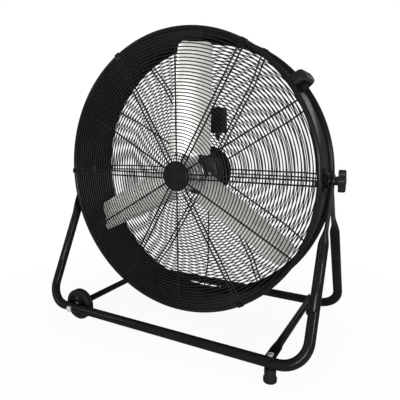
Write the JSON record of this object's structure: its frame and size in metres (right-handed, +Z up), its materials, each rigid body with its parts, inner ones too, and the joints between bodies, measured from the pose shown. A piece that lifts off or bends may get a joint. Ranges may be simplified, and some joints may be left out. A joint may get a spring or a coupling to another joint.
{
  "type": "drum fan",
  "caption": "Tilting drum fan with wire guards and sheet blades on a bent tube stand with wheels and rubber feet",
  "frame": {"origin": "on the floor, at the middle of the footprint, under the drum's pivot axis", "axes": "+X along the drum's pivot axis towards the rubber feet, -Y the way the air leaves, +Z up"},
  "size_m": [0.8598, 0.4264, 0.836],
  "materials": {
    "black_paint": "gloss black powder coat",
    "black_wire": "black powder coat on wire",
    "motor_paint": "dark grey enamel",
    "blade_sheet": "bright rolled aluminium sheet",
    "cast_aluminium": "machined cast aluminium",
    "motor_cover": "cast aluminium, painted dark grey",
    "zinc": "bright zinc plated steel",
    "steel": "bare ground steel",
    "laminations": "stacked steel sheet",
    "badge": "satin black disc, bare",
    "black_plastic": "moulded black plastic, fine grain",
    "switch_plastic": "moulded black switch body",
    "tyre_rubber": "solid black rubber",
    "foot_rubber": "black rubber",
    "nylon_washer": "black nylon"
  },
  "bodies": {
    "stand": {"front_floor_frame": "black_paint", "rear_floor_frame": "black_paint", "front_left_leg": "black_paint", "front_right_leg": "black_paint", "rear_left_leg": "black_paint", "rear_right_leg": "black_paint", "side_cross_bar": "black_paint", "axle_tube": "black_paint", "axle_rod": "zinc", "axle_nut": "zinc", "wheel_washers": "zinc", "cross_bar_bolts": "zinc", "front_foot": "foot_rubber", "rear_foot": "foot_rubber"},
    "front_wheel": {"front_tyre": "tyre_rubber", "front_wheel_hub": "black_plastic"},
    "rear_wheel": {"rear_tyre": "tyre_rubber", "rear_wheel_hub": "black_plastic"},
    "drum": {"drum_shell": "black_paint", "front_guard": "black_wire", "rear_guard": "black_wire", "front_guard_plate": "black_paint", "badge_disc": "badge", "front_guard_clips": "black_paint", "rear_guard_clips": "black_paint", "clip_screws": "black_paint", "left_pivot_bracket": "black_paint", "right_pivot_bracket": "black_paint", "pivot_rivets": "black_paint", "pivot_studs": "zinc", "friction_washers": "nylon_washer", "clamp_washers": "zinc", "handle": "black_plastic", "handle_screws": "zinc", "motor_plate": "black_paint", "motor_shell": "motor_paint", "motor_front_cover": "motor_cover", "motor_rear_cover": "motor_cover", "motor_plate_bolts": "zinc", "motor_bearings": "steel", "motor_stator": "laminations", "control_box": "black_plastic", "control_box_cover": "black_plastic", "rotary_switch": "switch_plastic", "cable_gland": "black_plastic"},
    "impeller": {"motor_rotor": "laminations", "motor_shaft": "steel", "fan_hub": "cast_aluminium", "blade_spider": "zinc", "fan_blade_1": "blade_sheet", "fan_blade_2": "blade_sheet", "fan_blade_3": "blade_sheet", "blade_rivets": "zinc"},
    "left_knob": {"left_clamp_knob": "black_plastic"},
    "right_knob": {"right_clamp_knob": "black_plastic"},
    "dial": {"speed_dial": "black_plastic"}
  },
  "joints": [
    {"name": "drum_tilt", "type": "hinge", "parent": "stand", "child": "drum", "pos_m": [0, 0, 0.446], "axis": [1, 0, 0], "range_deg": [-90, 90]},
    {"name": "impeller_spin", "type": "hinge", "parent": "drum", "child": "impeller", "pos_m": [0, 0, 0.446], "axis": [0, 1, 0], "continuous": true},
    {"name": "front_wheel_roll", "type": "hinge", "parent": "stand", "child": "front_wheel", "pos_m": [-0.303, -0.1649, 0.046], "axis": [0, 1, 0], "continuous": true},
    {"name": "rear_wheel_roll", "type": "hinge", "parent": "stand", "child": "rear_wheel", "pos_m": [-0.303, 0.1649, 0.046], "axis": [0, 1, 0], "continuous": true},
    {"name": "left_knob_turn", "type": "hinge", "parent": "drum", "child": "left_knob", "pos_m": [-0.41, 0, 0.446], "axis": [1, 0, 0], "range_deg": [0, 360]},
    {"name": "right_knob_turn", "type": "hinge", "parent": "drum", "child": "right_knob", "pos_m": [0.41, 0, 0.446], "axis": [1, 0, 0], "range_deg": [0, 360]},
    {"name": "speed_dial_turn", "type": "hinge", "parent": "drum", "child": "dial", "pos_m": [0.022, 0.1579, 0.601], "axis": [0, 1, 0], "range_deg": [0, 135]}
  ]
}
